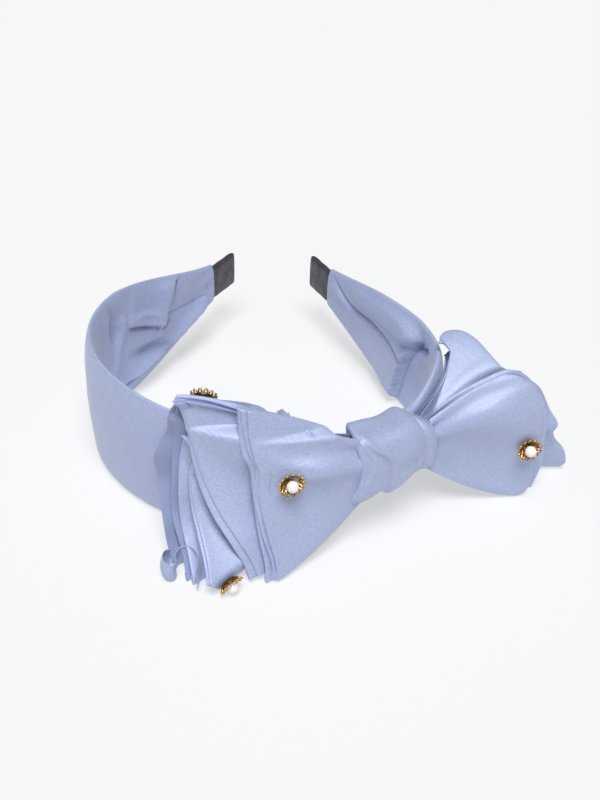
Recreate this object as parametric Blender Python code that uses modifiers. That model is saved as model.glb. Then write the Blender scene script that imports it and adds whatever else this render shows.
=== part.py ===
"""Satin headband with a fanned bow, modelled as its separate pieces.

Metres, +Z up. The hoop lies on its edge: the bow faces -Y, the open ends point to +Y and the head's
width runs along X. The origin is on the surface it lies on, under the middle of the whole object.
Shapes are worked out in the hoop's own plan, whose zero is the front of the crown, on the middle
surface of the plastic core, and then moved to the part's origin by PLAN_ORIGIN.
"""
import math

import bmesh
import bpy
from mathutils import Matrix, Vector

MM = 0.001

# Where the hoop's plan zero lies in the part's frame.
PLAN_ORIGIN = Vector((-27.56, -58.74, 0.0)) * MM

# The hoop in plan: one half is three arcs, (length, radius), from the crown to the end.
# The arm's radius is negative because it bows slightly the other way, and its end is straight.
CROWN_RADIUS = 74.7 * MM
CROWN_ARC = math.radians(56.7)
SIDE_RADIUS = 46.7 * MM
SIDE_ARC = math.radians(68.2)
ARM_LENGTH = 59.0 * MM
ARM_RADIUS = -1.1
END_LENGTH = 19.0 * MM
HALF_ARCS = (
    (CROWN_RADIUS * CROWN_ARC, CROWN_RADIUS),
    (SIDE_RADIUS * SIDE_ARC, SIDE_RADIUS),
    (ARM_LENGTH, ARM_RADIUS),
    (END_LENGTH, None),
)
HALF_LENGTH = sum(length for length, radius in HALF_ARCS)

# The satin sleeve: half its height at the crown, the sides and the ends, and its depth.
MIDDLE_HEIGHT = 28.4 * MM
CROWN_HALF_HEIGHT = 25.8 * MM
SIDE_HALF_HEIGHT = 28.4 * MM
END_HALF_HEIGHT = 7.8 * MM
TAPER_LENGTH = 86.0 * MM
SLEEVE_FRONT = 3.0 * MM
SLEEVE_BACK = 2.2 * MM
SLEEVE_WALL = 0.6 * MM
SLEEVE_END = HALF_LENGTH - 18.6 * MM
# Right of the knot its upper edge rolls down: how far, the middle of the roll, and its reach.
ROLL_DROP = 7.8 * MM
ROLL_PLACE = 118.0 * MM
ROLL_REACH = 40.0 * MM
# How square its section is, up and down its faces and across its two edges: 1 would be an ellipse.
SLEEVE_UP_POWER = 0.5
SLEEVE_OUT_POWER = 0.4
SLEEVE_RING = 16

# The knot gathers the sleeve and holds the bow, to the right of the crown.
KNOT_PLACE = 50.0 * MM
KNOT_HEIGHT = 33.5 * MM
GATHERED_HEIGHT = 32.4 * MM
KNOT_HALF_LENGTH = 14.5 * MM
KNOT_HALF_HEIGHT = 17.5 * MM
KNOT_WALL = 1.0 * MM
KNOT_BACK = -3.8 * MM
KNOT_FRONT = 14.4 * MM
KNOT_BACK_TAPER = 0.08
KNOT_FRONT_POWER = 0.5
KNOT_BACK_POWER = 0.35
KNOT_RING = 20
GATHERED_HALF_HEIGHT = 12.9 * MM
GATHER_REACH = 46.0 * MM

# Pieces inside the sleeve.
CORE_THICKNESS = 1.5 * MM
CORE_HALF_HEIGHT = 6.6 * MM
LINING_THICKNESS = 0.5 * MM
LINING_PLACE = 1.3 * MM
LINING_SHARE = 0.84
LINING_END = HALF_LENGTH - 34.0 * MM
COLUMN_SPACING = 8.0 * MM

# The arms spring outwards and inwards about a vertical line at each side.
HINGE_PLACE = 106.0 * MM
HINGE_GAP = 2.6 * MM

# The grosgrain wrap on each end.
WRAP_START = SLEEVE_END + 0.4 * MM
WRAP_HEIGHT = 15.4 * MM
WRAP_THICKNESS = 3.0 * MM
CORE_END = HALF_LENGTH - 1.2 * MM
WRAP_ROUNDING = 0.6 * MM
CLEARANCE = 0.3 * MM

# The bow: satin and organza pieces, pinched in their middles under the knot.
FLAP_THICKNESS = 0.7 * MM
THROAT_HALF_HEIGHT = 10.4 * MM
THROAT_END_HALF_HEIGHT = 12.9 * MM
THROAT_BOUND_LENGTH = 4.0 * MM
THROAT_FRONT = 11.4 * MM
THROAT_SPACING = 1.6 * MM
THROAT_HALF_LENGTH = 14.3 * MM
# How the pieces rest against the sleeve: the rear one's gap, the rest's spacing, and how far and
# from what height they may lean over its upper edge.
FLAP_REST = 0.6 * MM
FLAP_STACK = 1.3 * MM
FLAP_EASE = 1.2 * MM
FLAP_LEAN = 16.0 * MM
FLAP_LEAN_START = 54.3 * MM
FLAP_LEAN_RISE = 4.5 * MM
# How fast the pieces open upwards and downwards from the knot: 1 would be a straight-edged fan.
FAN_OPENING = 2.2
# How far back each piece bows, half way to its edge, from the front one on.
FLAP_BOWS = (0.0, 0.6 * MM, 3.6 * MM, 3.9 * MM, 4.2 * MM)
FLAP_COLUMNS = 6
FLAP_ROWS = 12
THROAT_COLUMNS = 5

# Each piece's two free edges, in millimetres from the plan zero, from the top down.
FLAPS = {
    "front_flap": (
        ((-3, -7, 65.5), (2, -13.5, 46), (1.5, -16, 31), (6, -20.5, 17.5), (10, -26, 2.8)),
        ((92.5, 32, 58.8), (104, 31, 55), (109.3, 30, 44), (110, 28.5, 22), (109, 27, 0.6)),
    ),
    "middle_flap": (
        ((-25.5, 6.5, 57), (-28.5, 0.5, 66.2), (-24, -3, 54), (-20, -8.5, 40), (-11, -20, 20),
         (3, -25.6, 4.2)),
        ((93.5, 36.5, 59.8), (105, 36, 52), (111.5, 34.5, 40), (115.5, 33, 14), (113, 32, 0.6)),
    ),
    "lower_flap": (
        ((-27, -0.5, 50), (-23, -5, 36), (-20, -11, 23), (-16.5, -23, 12.5), (-15, -34, 9.0),
         (-10, -26, 3.2)),
        ((104, 43, 49), (114, 41, 34), (121, 41.5, 18), (128, 44.5, 6), (124, 46.5, 1.5)),
    ),
    "rear_flap": (
        ((-29, 1.5, 48), (-29, -2, 36), (-27, -8, 22), (-24, -17.5, 9), (-21.5, -25, 1)),
        ((70, 58, 57.5), (79, 60.5, 59), (93, 44, 58), (106, 49, 42), (116, 53, 18), (119, 55, 0.6)),
    ),
    "organza_ruffle": (
        ((-31.5, 5, 54.4), (-33.5, 4.5, 49.5), (-38, 2.5, 40), (-36, -4, 23), (-35, -13, 8), (-29.5, -21.5, 1)),
        ((76, 62, 50), (90, 62, 42), (104, 62, 24), (111, 63, 0.6)),
    ),
}

# Studs: the piece each is on, its end, where from the knot to the edge and from the top down, and
# the face that it is on: 1 is the outer one.
STUDS = {
    "left_front": ("front_flap", "left", 0.74, 0.34, 1),
    "left_top": ("middle_flap", "left", 0.90, 0.08, 1),
    "left_bottom": ("lower_flap", "left", 0.95, 0.90, 1),
    "right_front": ("front_flap", "right", 0.90, 0.69, 1),
    "right_top": ("middle_flap", "right", 0.80, 0.23, -1),
    "right_bottom": ("lower_flap", "right", 0.84, 0.66, -1),
}
ROSETTE_RADIUS = 5.0 * MM
ROSETTE_HEIGHT = 2.4 * MM
PEARL_RADIUS = 2.3 * MM
PEARL_HEIGHT = 3.3 * MM
SHANK_RADIUS = 0.7 * MM
BACK_DISC_RADIUS = 1.4 * MM
BACK_DISC_THICKNESS = 0.5 * MM
STUD_CLEARANCE = 0.95 * MM

# Thread wound round the bow's middle, under the knot.
THREAD_RADIUS = 0.35 * MM
THREAD_TURNS = 3
THREAD_PITCH = 2.0 * MM
THREAD_LIFT = 0.95 * MM
THREAD_BACK_LIFT = 1.15 * MM
THREAD_POWER = 0.2
THREAD_STEPS = 20

SATIN_BLUE = (0.36, 0.45, 0.72, 1.0)
ORGANZA_BLUE = (0.33, 0.41, 0.66, 1.0)
CORE_PLASTIC = (0.75, 0.75, 0.74, 1.0)
LINING_WHITE = (0.85, 0.86, 0.88, 1.0)
GROSGRAIN_BLACK = (0.02, 0.02, 0.022, 1.0)
ANTIQUE_GOLD = (0.62, 0.40, 0.13, 1.0)
PEARL_WHITE = (0.93, 0.91, 0.87, 1.0)


def clear_scene():
    for item in list(bpy.data.objects):
        bpy.data.objects.remove(item, do_unlink=True)


def material(name, colour, roughness, metallic=0.0):
    made = bpy.data.materials.new(name)
    made.use_nodes = True
    shader = made.node_tree.nodes["Principled BSDF"]
    shader.inputs["Base Color"].default_value = colour
    shader.inputs["Roughness"].default_value = roughness
    shader.inputs["Metallic"].default_value = metallic
    return made


def collection(name):
    made = bpy.data.collections.new(name)
    bpy.context.scene.collection.children.link(made)
    return made


def blend(start, end, part):
    return start + (end - start) * part


def smooth_step(part):
    part = min(max(part, 0.0), 1.0)
    return part * part * (3 - 2 * part)


def squared(value, power):
    """A sine or cosine raised to a power below 1, its sign kept, for a squarer section."""
    return math.copysign(abs(value) ** power, value)


# ---- the hoop's plan -------------------------------------------------------------------------

def plan(distance):
    """Point, direction and outward normal of the hoop at a signed distance from the crown."""
    point = Vector((0.0, 0.0, 0.0))
    heading = 0.0
    left = abs(distance)
    for length, radius in HALF_ARCS:
        step = min(left, length)
        if radius is None:
            point += Vector((math.cos(heading), math.sin(heading), 0.0)) * step
        else:
            turned = heading + step / radius
            point += Vector((math.sin(turned) - math.sin(heading),
                             math.cos(heading) - math.cos(turned), 0.0)) * radius
            heading = turned
        left -= step
        if left <= 0:
            break
    side = -1.0 if distance < 0 else 1.0
    point.x *= side
    direction = Vector((math.cos(heading), side * math.sin(heading), 0.0))
    outward = Vector((side * math.sin(heading), -math.cos(heading), 0.0))
    return point, direction, outward


def place(distance, out, height):
    """A point given along the hoop, outwards from its middle surface and up from the table."""
    point, direction, outward = plan(distance)
    return point + outward * out + Vector((0.0, 0.0, height))


def gather(distance):
    """1 inside the knot, falling to 0 where the sleeve has opened to its full height."""
    away = abs(distance - KNOT_PLACE) - KNOT_HALF_LENGTH
    return 1.0 - smooth_step(away / (GATHER_REACH - KNOT_HALF_LENGTH))


def edge_drop(distance):
    """How far the sleeve's upper edge has rolled down."""
    return ROLL_DROP * math.exp(-((distance - ROLL_PLACE) / ROLL_REACH) ** 2)


def sleeve_half_height(distance):
    along = abs(distance)
    full = blend(CROWN_HALF_HEIGHT, SIDE_HALF_HEIGHT, math.sin(math.pi * along / HALF_LENGTH))
    full = blend(END_HALF_HEIGHT, full, smooth_step((HALF_LENGTH - along) / TAPER_LENGTH))
    return blend(full - edge_drop(distance) / 2, GATHERED_HALF_HEIGHT, gather(distance))


def sleeve_middle(distance):
    return blend(MIDDLE_HEIGHT - edge_drop(distance) / 2, GATHERED_HEIGHT, gather(distance))


def lining_half_height(distance):
    return sleeve_half_height(distance) * LINING_SHARE - SLEEVE_WALL


# ---- mesh helpers ------------------------------------------------------------------------------

def grid_object(name, columns, made_of, owner, group, wrap=False):
    """An open surface through columns of points; with wrap, each column is a closed ring."""
    work = bmesh.new()
    grid = [[work.verts.new(point) for point in column] for column in columns]
    rows = len(columns[0])
    for first, second in zip(grid, grid[1:]):
        for row in range(rows if wrap else rows - 1):
            after = (row + 1) % rows
            work.faces.new((first[row], second[row], second[after], first[after]))
    mesh = bpy.data.meshes.new(name)
    work.to_mesh(mesh)
    work.free()
    mesh.shade_smooth()
    return add_object(name, mesh, made_of, owner, group)


def add_object(name, data, made_of, owner, group):
    made = bpy.data.objects.new(name, data)
    group.objects.link(made)
    made.data.materials.append(made_of)
    made.parent = owner
    made.matrix_parent_inverse = Matrix.Identity(4)
    made.location = -owner_place(owner)
    return made


def owner_place(owner):
    return Vector((0.0, 0.0, 0.0)) if owner.parent is None else owner.location


def thicken(made, thickness, offset):
    shell = made.modifiers.new("thickness", "SOLIDIFY")
    shell.thickness = thickness
    shell.offset = offset
    shell.use_even_offset = False


def steps(start, end, count):
    return [blend(start, end, index / count) for index in range(count + 1)]


def empty(name, location, owner, group):
    made = bpy.data.objects.new(name, None)
    made.empty_display_size = 0.01
    group.objects.link(made)
    made.parent = owner
    made.location = location
    return made


# ---- band --------------------------------------------------------------------------------------

def column_count(start, end):
    return max(4, round(abs(end - start) / COLUMN_SPACING))


def strip(name, start, end, half_height, middle, out, thickness, made_of, owner, group):
    """A flat strip bent along the hoop; its half height and its middle go by the distance."""
    columns = []
    for distance in steps(start, end, column_count(start, end)):
        reach = half_height(distance)
        centre = middle(distance)
        columns.append([place(distance, out, centre - reach * side) for side in (1, 0, -1)])
    made = grid_object(name, columns, made_of, owner, group)
    thicken(made, thickness, 0.0)
    return made


def sleeve(name, start, end, made_of, owner, group):
    """The satin tube, deepest at its middle and rounded at its two long edges."""
    columns = []
    for distance in steps(start, end, column_count(start, end)):
        reach = sleeve_half_height(distance)
        centre = sleeve_middle(distance)
        column = []
        for index in range(SLEEVE_RING):
            angle = 2 * math.pi * index / SLEEVE_RING
            up = squared(math.cos(angle), SLEEVE_UP_POWER)
            out = squared(math.sin(angle), SLEEVE_OUT_POWER)
            depth = SLEEVE_FRONT if out > 0 else SLEEVE_BACK
            column.append(place(distance, depth * out, centre + reach * up))
        columns.append(column)
    made = grid_object(name, columns, made_of, owner, group, wrap=True)
    thicken(made, SLEEVE_WALL, 1.0)
    return made


def add_band(root, hinges, group, looks):
    gap = HINGE_GAP / 2
    inner = HINGE_PLACE - gap
    outer = HINGE_PLACE + gap
    runs = {
        "crown": (-inner, inner, -inner, inner, -inner, inner, root),
        "right_arm": (outer, CORE_END, outer, LINING_END, outer, SLEEVE_END, hinges["right"]),
        "left_arm": (-CORE_END, -outer, -LINING_END, -outer, -SLEEVE_END, -outer, hinges["left"]),
    }
    for part, (core_a, core_b, lining_a, lining_b, sleeve_a, sleeve_b, owner) in runs.items():
        strip("core_" + part, core_a, core_b, lambda distance: CORE_HALF_HEIGHT,
              lambda distance: MIDDLE_HEIGHT, 0.0, CORE_THICKNESS, looks["core"], owner, group)
        strip("lining_" + part, lining_a, lining_b, lining_half_height, sleeve_middle, LINING_PLACE,
              LINING_THICKNESS, looks["lining"], owner, group)
        sleeve("sleeve_" + part, sleeve_a, sleeve_b, looks["satin"], owner, group)


def box(name, size, made_of, owner, group):
    bpy.ops.mesh.primitive_cube_add(size=1.0)
    made = bpy.context.object
    made.name = name
    made.data.name = name
    for holder in list(made.users_collection):
        holder.objects.unlink(made)
    group.objects.link(made)
    made.data.transform(Matrix.Diagonal(Vector(size).to_4d()))
    made.data.materials.append(made_of)
    made.parent = owner
    return made


def add_end_wrap(side, hinge, group, cutters, looks):
    """The grosgrain pocket that the end of the core sits in."""
    sign = -1 if side == "left" else 1
    middle = (WRAP_START + HALF_LENGTH) / 2
    length = HALF_LENGTH - WRAP_START
    direction = plan(sign * middle)[1]
    turn = math.atan2(direction.y, direction.x)
    wrap = box("end_wrap_" + side, (length, WRAP_THICKNESS, WRAP_HEIGHT), looks["grosgrain"],
               hinge, group)
    wrap.location = place(sign * middle, 0.0, MIDDLE_HEIGHT) - owner_place(hinge)
    wrap.rotation_euler.z = turn
    rounded = wrap.modifiers.new("rounded edges", "BEVEL")
    rounded.width = WRAP_ROUNDING
    rounded.segments = 2

    pocket_size = (2 * (CORE_END - WRAP_START) + 4 * CLEARANCE, CORE_THICKNESS + 2 * CLEARANCE,
                   2 * (CORE_HALF_HEIGHT + CLEARANCE))
    pocket = box("pocket_" + side, pocket_size, looks["grosgrain"], hinge, cutters)
    pocket.location = place(sign * WRAP_START, 0.0, MIDDLE_HEIGHT) - owner_place(hinge)
    pocket.rotation_euler.z = turn
    hide_cutter(pocket)
    cut = wrap.modifiers.new("pocket", "BOOLEAN")
    cut.operation = "DIFFERENCE"
    cut.object = pocket


def hide_cutter(cutter):
    cutter.hide_render = True
    cutter.display_type = "WIRE"


# ---- bow ---------------------------------------------------------------------------------------

def through(points, share):
    """A point on a smooth curve through the given ones (Catmull-Rom), share running 0 to 1."""
    position = min(share, 0.999999) * (len(points) - 1)
    index = int(position)
    part = position - index
    before = points[max(index - 1, 0)]
    start = points[index]
    end = points[index + 1]
    after = points[min(index + 2, len(points) - 1)]
    bend = 2 * start + (end - before) * part
    bend += (2 * before - 5 * start + 4 * end - after) * part ** 2
    bend += (3 * start - before - 3 * end + after) * part ** 3
    return bend / 2


def throat_point(order, distance, down):
    """A point of the bow's middle, pinched by the thread: order 0 is the front piece."""
    out = THROAT_FRONT - THROAT_SPACING * order
    loose = abs(distance - KNOT_PLACE) - THROAT_BOUND_LENGTH
    opened = smooth_step(loose / (THROAT_HALF_LENGTH - THROAT_BOUND_LENGTH))
    reach = blend(THROAT_HALF_HEIGHT, THROAT_END_HALF_HEIGHT, opened)
    return place(distance, out, KNOT_HEIGHT + reach * (1 - 2 * down))


def flap_point(name, end, along, down):
    """A point of one piece of the bow, from the knot (along 0) to its free edge (along 1)."""
    order = list(FLAPS).index(name)
    side = 0 if end == "left" else 1
    edge = [Vector(point) * MM for point in FLAPS[name][side]]
    throat = KNOT_PLACE + THROAT_HALF_LENGTH * (2 * side - 1)
    start = throat_point(order, throat, down)
    end_point = through(edge, down)
    point = start.lerp(end_point, along)
    point -= plan(KNOT_PLACE)[2] * FLAP_BOWS[order] * 4 * along * (1 - along)
    point.z = blend(end_point.z, start.z, max(1.0 - along, 0.0) ** FAN_OPENING)
    return clear_of_sleeve(point, order)


def clear_of_sleeve(point, order):
    """The point pushed outwards, where it has to be, so that the bow's pieces lie on the sleeve."""
    crown_centre = Vector((0.0, CROWN_RADIUS, 0.0))
    side = -1.0 if point.x < 0 else 1.0
    joined = Vector((side * math.sin(CROWN_ARC), -math.cos(CROWN_ARC), 0.0))
    side_centre = crown_centre + joined * (CROWN_RADIUS - SIDE_RADIUS)
    spoke = Vector((point.x, point.y, 0.0)) - crown_centre
    centre = crown_centre
    radius = CROWN_RADIUS
    if math.atan2(abs(spoke.x), -spoke.y) > CROWN_ARC:
        centre = side_centre
        radius = SIDE_RADIUS
        spoke = Vector((point.x, point.y, 0.0)) - centre
    out = spoke.length - radius
    least = SLEEVE_FRONT + FLAP_REST + FLAP_STACK * (len(FLAPS) - 1 - order)
    least -= FLAP_LEAN * smooth_step((point.z - FLAP_LEAN_START) / FLAP_LEAN_RISE)
    gap = out - least
    eased = least + (gap + math.sqrt(gap * gap + FLAP_EASE ** 2)) / 2
    moved = centre + spoke.normalized() * (radius + eased)
    return Vector((moved.x, moved.y, point.z))


def flap_frame(name, end, along, down, face):
    """A point of a piece of the bow, and a turn that stands +Z on one of its faces there."""
    nudge = 0.02
    point = flap_point(name, end, along, down)
    outwards = flap_point(name, end, along + nudge, down)
    outwards -= flap_point(name, end, along - nudge, down)
    downwards = flap_point(name, end, along, down + nudge)
    downwards -= flap_point(name, end, along, down - nudge)
    normal = outwards.cross(downwards) * face
    if end == "right":
        normal.negate()
    return point, normal.normalized().to_track_quat("Z", "Y")


def add_flaps(root, group, cutters, looks):
    rows = steps(0.0, 1.0, FLAP_ROWS)
    throat_start = KNOT_PLACE - THROAT_HALF_LENGTH
    throat_end = KNOT_PLACE + THROAT_HALF_LENGTH
    for order, name in enumerate(FLAPS):
        columns = []
        for along in steps(1.0, 0.0, FLAP_COLUMNS):
            columns.append([flap_point(name, "left", along, down) for down in rows])
        for distance in steps(throat_start, throat_end, THROAT_COLUMNS)[1:-1]:
            columns.append([throat_point(order, distance, down) for down in rows])
        for along in steps(0.0, 1.0, FLAP_COLUMNS):
            columns.append([flap_point(name, "right", along, down) for down in rows])
        cloth = looks["organza"] if name == "organza_ruffle" else looks["satin"]
        flap = grid_object(name, columns, cloth, root, group)
        thicken(flap, FLAP_THICKNESS, 0.0)
        for stud, (held_by, *where) in STUDS.items():
            if held_by == name:
                pierce(flap, stud, where, root, cutters, looks)


def pierce(flap, stud, where, root, cutters, looks):
    """The small hole that a stud's shank goes through."""
    point, turn = flap_frame(flap.name, *where)
    hole = rod("hole_" + stud, SHANK_RADIUS + CLEARANCE, 8 * MM, 10, looks["gold"], root, cutters)
    hole.location = point
    hole.rotation_euler = turn.to_euler()
    hide_cutter(hole)
    cut = flap.modifiers.new(stud, "BOOLEAN")
    cut.operation = "DIFFERENCE"
    cut.object = hole


def rod(name, radius, length, sides, made_of, owner, group):
    bpy.ops.mesh.primitive_cylinder_add(radius=radius, depth=length, vertices=sides)
    made = bpy.context.object
    made.name = name
    made.data.name = name
    for holder in list(made.users_collection):
        holder.objects.unlink(made)
    group.objects.link(made)
    made.data.materials.append(made_of)
    made.parent = owner
    return made


def add_knot(root, group, looks):
    """The satin strip wound round the bow and the sleeve, an open-ended rounded tube."""
    depth = (KNOT_FRONT - KNOT_BACK) / 2
    centre = (KNOT_FRONT + KNOT_BACK) / 2
    columns = []
    for distance in steps(KNOT_PLACE - KNOT_HALF_LENGTH, KNOT_PLACE + KNOT_HALF_LENGTH, 6):
        column = []
        for index in range(KNOT_RING):
            angle = 2 * math.pi * index / KNOT_RING
            power = KNOT_FRONT_POWER if math.sin(angle) > 0 else KNOT_BACK_POWER
            up = squared(math.cos(angle), power)
            out = squared(math.sin(angle), power)
            reach = KNOT_HALF_HEIGHT * (1 + KNOT_BACK_TAPER * min(out, 0.0))
            column.append(place(distance, centre + depth * out, KNOT_HEIGHT + reach * up))
        columns.append(column)
    knot = grid_object("knot_wrap", columns, looks["satin"], root, group, wrap=True)
    thicken(knot, KNOT_WALL, 1.0)


def add_thread(root, group, looks):
    """A helix of thread round the pinched middle of the bow."""
    front = THROAT_FRONT + THREAD_LIFT
    back = THROAT_FRONT - THROAT_SPACING * (len(FLAPS) - 1) - THREAD_BACK_LIFT
    half_height = THROAT_HALF_HEIGHT + THREAD_LIFT
    points = []
    for index in range(THREAD_TURNS * THREAD_STEPS + 1):
        turns = index / THREAD_STEPS
        angle = 2 * math.pi * turns
        up = squared(math.sin(angle), THREAD_POWER)
        out = squared(math.cos(angle), THREAD_POWER)
        distance = KNOT_PLACE + (turns - THREAD_TURNS / 2) * THREAD_PITCH
        points.append(place(distance, blend(back, front, (1 - out) / 2),
                            KNOT_HEIGHT + half_height * up))
    data = bpy.data.curves.new("gathering_thread", "CURVE")
    data.dimensions = "3D"
    data.bevel_depth = THREAD_RADIUS
    data.bevel_resolution = 1
    data.use_fill_caps = True
    line = data.splines.new("POLY")
    line.points.add(len(points) - 1)
    for knot, point in zip(line.points, points):
        knot.co = (*point, 1.0)
    add_object("gathering_thread", data, looks["thread"], root, group)


# ---- studs -------------------------------------------------------------------------------------

def rosette_section():
    """Half section of the flared gold cup: up inside, over the rim and down outside."""
    floor = 0.9 * MM
    hub = PEARL_RADIUS * 0.62
    return (
        (0.0, floor), (hub, floor), (ROSETTE_RADIUS * 0.70, floor + 0.5 * MM),
        (ROSETTE_RADIUS * 0.94, ROSETTE_HEIGHT), (ROSETTE_RADIUS, ROSETTE_HEIGHT - 0.3 * MM),
        (ROSETTE_RADIUS * 0.86, 0.5 * MM), (hub, 0.0), (0.0, 0.0),
    )


def turned(name, section, sides, made_of, owner, group):
    mesh = bpy.data.meshes.new(name)
    edges = [(index, index + 1) for index in range(len(section) - 1)]
    mesh.from_pydata([(radius, 0.0, height) for radius, height in section], edges, [])
    made = add_object(name, mesh, made_of, owner, group)
    made.location = (0.0, 0.0, 0.0)
    spin = made.modifiers.new("turned", "SCREW")
    spin.steps = sides
    spin.render_steps = sides
    spin.use_merge_vertices = True
    spin.merge_threshold = 0.00001
    return made


def add_stud(name, held_by, where, root, group, looks):
    """A pearl in a flared gold cup, its shank through the cloth and a disc behind it."""
    point, turn = flap_frame(held_by, *where)
    stud = empty("stud_" + name, point, root, group)
    stud.rotation_mode = "QUATERNION"
    stud.rotation_quaternion = turn
    lift = FLAP_THICKNESS / 2 + STUD_CLEARANCE

    rosette = turned("rosette_" + name, rosette_section(), 18, looks["gold"], stud, group)
    rosette.location.z = lift

    bpy.ops.mesh.primitive_uv_sphere_add(segments=12, ring_count=8, radius=PEARL_RADIUS)
    pearl = bpy.context.object
    pearl.name = "pearl_" + name
    pearl.data.name = pearl.name
    for holder in list(pearl.users_collection):
        holder.objects.unlink(pearl)
    group.objects.link(pearl)
    pearl.data.materials.append(looks["pearl"])
    pearl.data.shade_smooth()
    pearl.parent = stud
    pearl.location.z = lift + PEARL_HEIGHT

    back = -lift - BACK_DISC_THICKNESS
    section = ((0.0, lift - CLEARANCE), (SHANK_RADIUS, lift - CLEARANCE), (SHANK_RADIUS, -lift),
               (BACK_DISC_RADIUS, -lift), (BACK_DISC_RADIUS, back), (0.0, back))
    turned("shank_" + name, section, 12, looks["gold"], stud, group)


def main():
    clear_scene()
    looks = {
        "satin": material("satin", SATIN_BLUE, 0.42),
        "organza": material("organza", ORGANZA_BLUE, 0.6),
        "core": material("core_plastic", CORE_PLASTIC, 0.5),
        "lining": material("lining", LINING_WHITE, 0.9),
        "grosgrain": material("grosgrain", GROSGRAIN_BLACK, 0.6),
        "gold": material("antique_gold", ANTIQUE_GOLD, 0.3, 1.0),
        "pearl": material("pearl", PEARL_WHITE, 0.15),
        "thread": material("thread", SATIN_BLUE, 0.6),
    }
    group = collection("headband")
    cutters = collection("cutters")
    root = empty("headband_frame", PLAN_ORIGIN, None, group)
    hinges = {
        side: empty(side + "_arm_hinge", place(sign * HINGE_PLACE, 0.0, MIDDLE_HEIGHT), root, group)
        for side, sign in (("left", -1), ("right", 1))
    }
    add_band(root, hinges, group, looks)
    for side, hinge in hinges.items():
        add_end_wrap(side, hinge, group, cutters, looks)
    add_flaps(root, group, cutters, looks)
    add_knot(root, group, looks)
    add_thread(root, group, looks)
    for name, (held_by, *where) in STUDS.items():
        add_stud(name, held_by, where, root, group, looks)


main()
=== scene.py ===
"""Looks of the satin headband: cloth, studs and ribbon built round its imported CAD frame.

Shapes are worked out in millimetres in the hoop's plan, whose zero is the front of the crown on the
middle surface of the core, with X along the head's width, Y from the crown to the open ends and Z up
from the table. Each grid of points is moved to the part's frame when its mesh is made.
"""
import math

import bmesh
import bpy
import numpy as np
from mathutils import Matrix, Vector, noise


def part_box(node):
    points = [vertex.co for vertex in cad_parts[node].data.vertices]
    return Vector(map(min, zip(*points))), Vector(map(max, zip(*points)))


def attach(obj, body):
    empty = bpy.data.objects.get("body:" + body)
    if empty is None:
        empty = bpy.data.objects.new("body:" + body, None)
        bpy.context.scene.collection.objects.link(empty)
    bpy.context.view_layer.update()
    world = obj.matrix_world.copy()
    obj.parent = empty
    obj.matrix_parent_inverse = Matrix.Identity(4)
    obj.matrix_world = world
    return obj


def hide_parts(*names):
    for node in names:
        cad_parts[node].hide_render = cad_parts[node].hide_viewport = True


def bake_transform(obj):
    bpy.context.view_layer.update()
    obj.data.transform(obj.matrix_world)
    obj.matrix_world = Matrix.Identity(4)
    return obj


MM = 0.001

# The hoop in plan: one half is (length, radius) runs from the crown to the end.
HALF_ARCS = (
    (74.7 * math.radians(56.7), 74.7),
    (46.7 * math.radians(68.2), 46.7),
    (59.0, -1100.0),
    (19.0, None),
)
HALF_LENGTH = sum(length for length, radius in HALF_ARCS)
CORE_HALF_THICKNESS = 0.75

# The satin sleeve.
MIDDLE_HEIGHT = 28.4
CROWN_HALF_HEIGHT = 25.8
SIDE_HALF_HEIGHT = 28.4
END_HALF_HEIGHT = 8.3
TAPER_LENGTH = 86.0
SLEEVE_END = HALF_LENGTH - 17.6
SLEEVE_DEPTHS = (3.0, 2.6)
END_DEPTH = 1.95
COLUMN_SPACING = 0.95
FACE_ROWS = 76

# Right of the knot the sleeve's upper edge rolls down: how far, where most, and how far along.
ROLL_DROP = 7.8
ROLL_PLACE = 118.0
ROLL_REACH = 40.0

# The knot, and how the sleeve is gathered into it.
KNOT_PLACE = 50.0
KNOT_HEIGHT = 33.5
KNOT_HALF_LENGTH = 14.8
KNOT_BACK = -3.9
KNOT_FRONT = 14.6
# The middle height of the knot at its left and right ends, and its half height at the left one.
KNOT_MIDDLES = (34.9, 33.8)
KNOT_LEFT_HALF_HEIGHT = 16.1
GATHERED_HEIGHT = 32.4
GATHERED_HALF_HEIGHT = 12.9
GATHER_REACH = 46.0

# The joints at the sides, and how far the cloth takes to turn across them.
HINGE_PLACE = 106.0
TURN_REACH = 24.0

# The bow's pieces run through the knot, in its throat, and fan out from there.
THROAT_HALF_HEIGHT = 10.4
THROAT_END_HALF_HEIGHTS = {"left": 15.9, "right": 11.6}
THROAT_BOUND_LENGTH = 4.0
THROAT_CURL = 6.0
THROAT_FRONT = 11.4
THROAT_SPACING = 1.5
THROAT_HALF_LENGTH = 14.3

# How far each piece bows back between knot and edge, how far it swells and creases, and how it lies on
# the sleeve; above the sleeve's edge it may lean back over the band.
FLAP_BOWS = (0.0, 0.6, 3.6, 3.9, 4.2)
FLAP_SWELL = 1.0
FRONT_FLAP_SWELL = 4.4
CREASE_DEPTH = 0.7
SLEEVE_FRONT = 3.0
FLAP_REST = 0.6
FLAP_STACK = 1.3
FLAP_EASE = 1.2
FLAP_LEAN = 16.0
FLAP_LEAN_START = 54.3
FLAP_LEAN_RISE = 4.5

# The cloth's thickness, and how closely it comes down to the table.
CLOTH = 0.28
TABLE_REST = 0.35
TABLE_EASE = 0.25

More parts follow.
